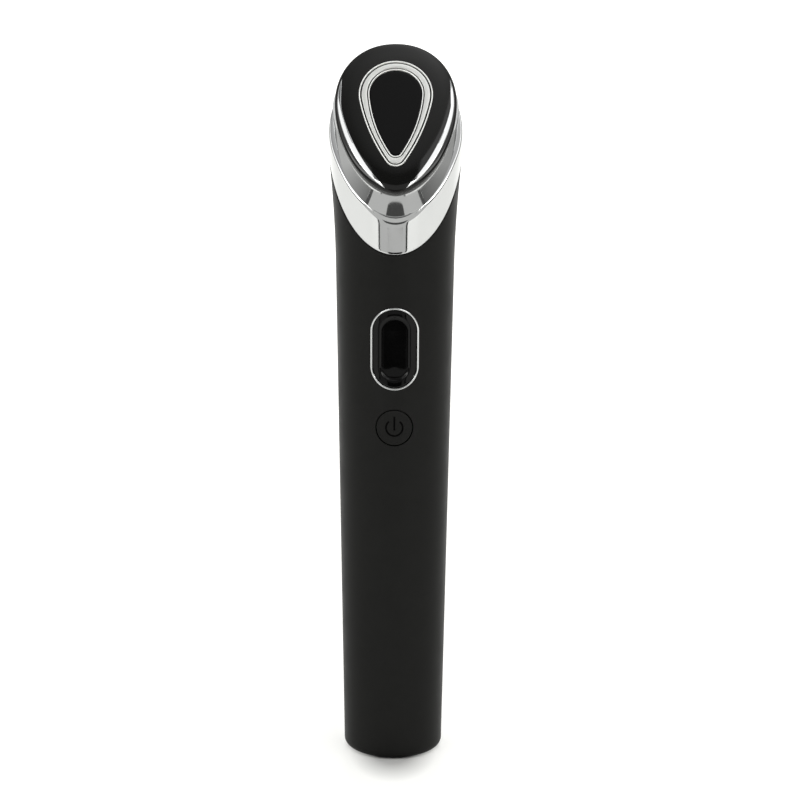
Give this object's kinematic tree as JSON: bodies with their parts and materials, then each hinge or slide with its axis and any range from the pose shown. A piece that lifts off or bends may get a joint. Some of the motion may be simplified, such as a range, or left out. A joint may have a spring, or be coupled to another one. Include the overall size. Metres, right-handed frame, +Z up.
{
  "type": "facial massager",
  "caption": "Hand-held facial massager: tapered black handle with a display window and power button, and an oblique stepped chrome head with a teardrop ring electrode.",
  "frame": {"origin": "centre of the foot's flat underside, on the handle's axis", "axes": "+Z up the handle from the foot to the head; -Y out of the front, where the window and the button are; +X to the right as seen from the front"},
  "size_m": [0.0314, 0.0327, 0.17],
  "materials": {
    "handle_soft_black": "soft-touch satin black coating over moulded plastic",
    "head_gloss_black": "polished gloss black plastic",
    "black_glass_plastic": "smoked gloss black window",
    "chrome_plate": "bright chrome plating on plastic",
    "satin_chrome": "satin chrome band with polished edges",
    "frame_black": "plain black moulding, seen only as the seam line",
    "grey_nylon": "moulded grey nylon",
    "circuit_board": "green solder mask on glass-fibre board",
    "black_moulding": "black moulded component body",
    "capacitor_sleeve": "dark blue printed-free sleeve",
    "copper_winding": "enamelled copper winding on a ferrite core",
    "plated_steel": "nickel-plated steel",
    "battery_sleeve": "blue heat-shrink sleeve round a metal cell",
    "weight_metal": "sintered heavy metal",
    "black_rubber": "moulded silicone rubber",
    "led_lens": "pale phosphor-coated light",
    "gold_pins": "gold-plated spring pins",
    "wire_insulation": "red silicone insulation of thin lead wires",
    "flex_film": "amber polyimide film of a flexible cable",
    "foam_pad": "dense dark foam"
  },
  "bodies": {
    "handle": {"handle_barrel": "handle_soft_black", "end_cap": "handle_soft_black", "chassis": "grey_nylon", "main_board": "circuit_board", "board_chips": "black_moulding", "storage_capacitor": "capacitor_sleeve", "pulse_transformer": "copper_winding", "usb_c_shell": "plated_steel", "usb_c_tongue": "black_moulding", "battery_cell": "battery_sleeve", "battery_tabs": "plated_steel", "board_screws": "plated_steel", "tact_switch": "black_moulding", "display_module": "grey_nylon", "display_lens": "black_glass_plastic", "display_trim": "chrome_plate", "motor_mount": "black_rubber", "motor_can": "plated_steel", "head_frame": "frame_black", "chrome_collar": "chrome_plate", "neck_ring": "chrome_plate", "head_cap": "head_gloss_black", "head_screws": "plated_steel", "left_crescent": "chrome_plate", "right_crescent": "chrome_plate", "teardrop_electrode": "satin_chrome", "teardrop_lens": "black_glass_plastic", "led_board": "circuit_board", "leds": "led_lens", "contact_pins": "gold_pins", "motor_leads": "wire_insulation", "head_ribbon": "flex_film", "cell_pad": "foam_pad"},
    "button": {"power_button": "handle_soft_black", "switch_plunger": "black_moulding"},
    "rotor": {"motor_shaft": "plated_steel", "eccentric_weight": "weight_metal"}
  },
  "joints": [
    {"name": "button_press", "type": "slide", "parent": "handle", "child": "button", "axis": [0, 1, 0], "range_m": [0, 0.0004], "stiffness_N_per_m": 1000},
    {"name": "motor_spin", "type": "hinge", "parent": "handle", "child": "rotor", "pos_m": [0, 0.004, 0.127], "axis": [0, 0, 1], "continuous": true}
  ]
}
